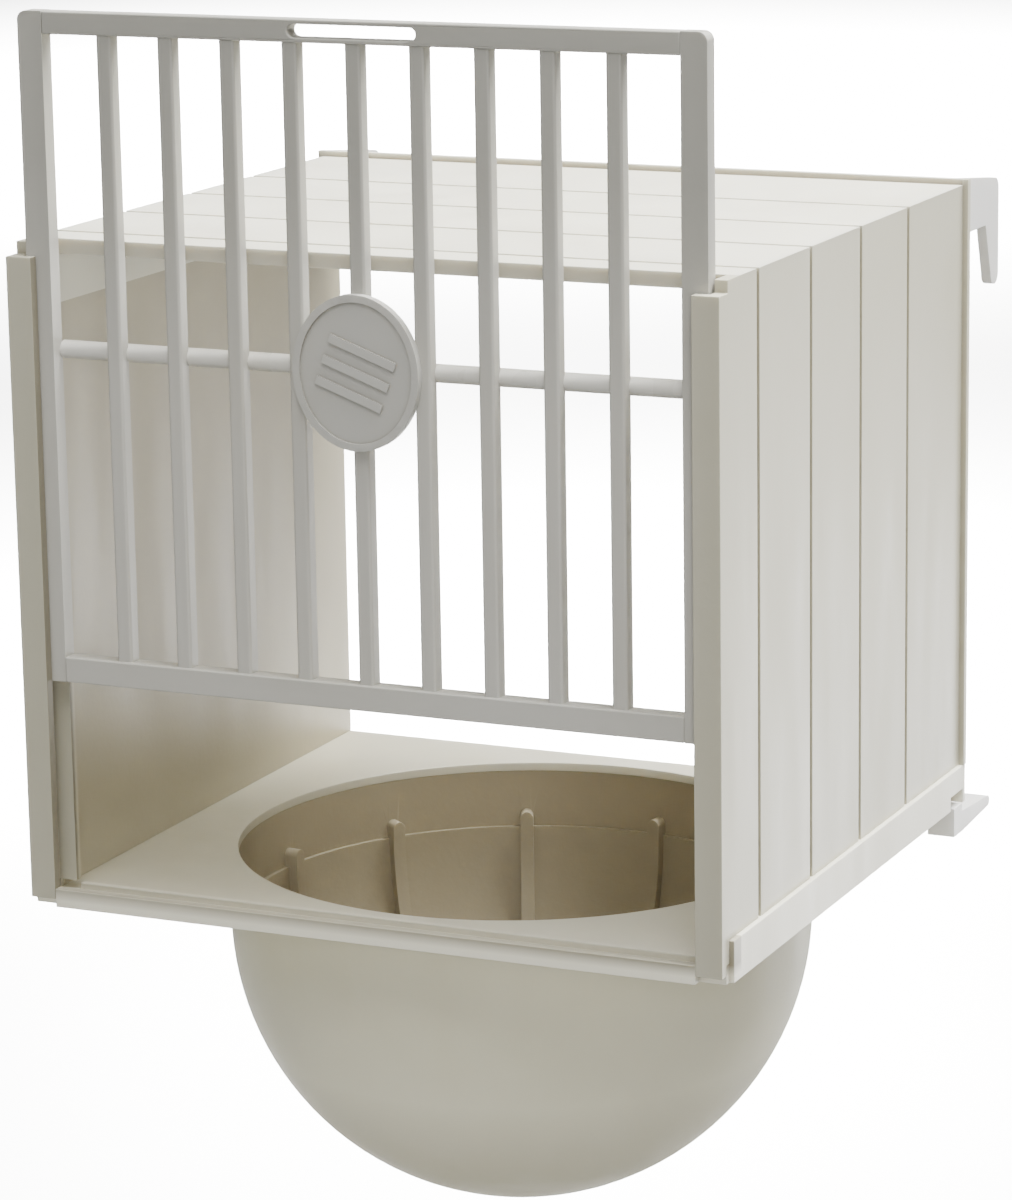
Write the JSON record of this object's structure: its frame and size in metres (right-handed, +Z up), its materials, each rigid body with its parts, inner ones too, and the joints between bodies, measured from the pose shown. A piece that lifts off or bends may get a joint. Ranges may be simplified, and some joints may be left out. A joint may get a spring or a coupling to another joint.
{
  "type": "hanging bird nest box",
  "caption": "Hanging nest box for small cage birds: grooved open-backed box with rear hooks, a round nest bowl in its floor, and a bar grille that slides up and down in front channels.",
  "frame": {"origin": "middle of the tray floor's back edge, on the open back plane that rests against the cage", "axes": "+X to the right as seen from the barred front, +Y from the barred front to the open back and the cage, +Z up"},
  "size_m": [0.126, 0.1347, 0.2101],
  "materials": {
    "shell": "satin moulded plastic, warm light grey",
    "bowl": "satin moulded plastic, slightly browner grey",
    "grille": "satin moulded plastic, mid grey",
    "fittings": "satin moulded plastic, pale cool grey",
    "badge": "matte moulded plastic, grey, low relief"
  },
  "bodies": {
    "box": {"floor_tray": "shell", "left_panel": "shell", "right_panel": "shell", "roof_panel": "shell", "nest_bowl": "bowl", "upper_hook_left": "fittings", "upper_hook_right": "fittings", "lower_clip_left": "fittings", "lower_clip_right": "fittings"},
    "grille": {"grille_top_bar": "grille", "grille_bottom_rail": "grille", "grille_left_stile": "grille", "grille_right_stile": "grille", "grille_mid_rod": "grille", "grille_bar_1": "grille", "grille_bar_2": "grille", "grille_bar_3": "grille", "grille_bar_4": "grille", "grille_bar_5": "grille", "grille_bar_6": "grille", "grille_bar_7": "grille", "grille_bar_8": "grille", "grille_bar_9": "grille", "grille_badge": "badge"}
  },
  "joints": [
    {"name": "grille_slide", "type": "slide", "parent": "box", "child": "grille", "axis": [0, 0, 1], "range_m": [-0.0366, 0.06]}
  ]
}
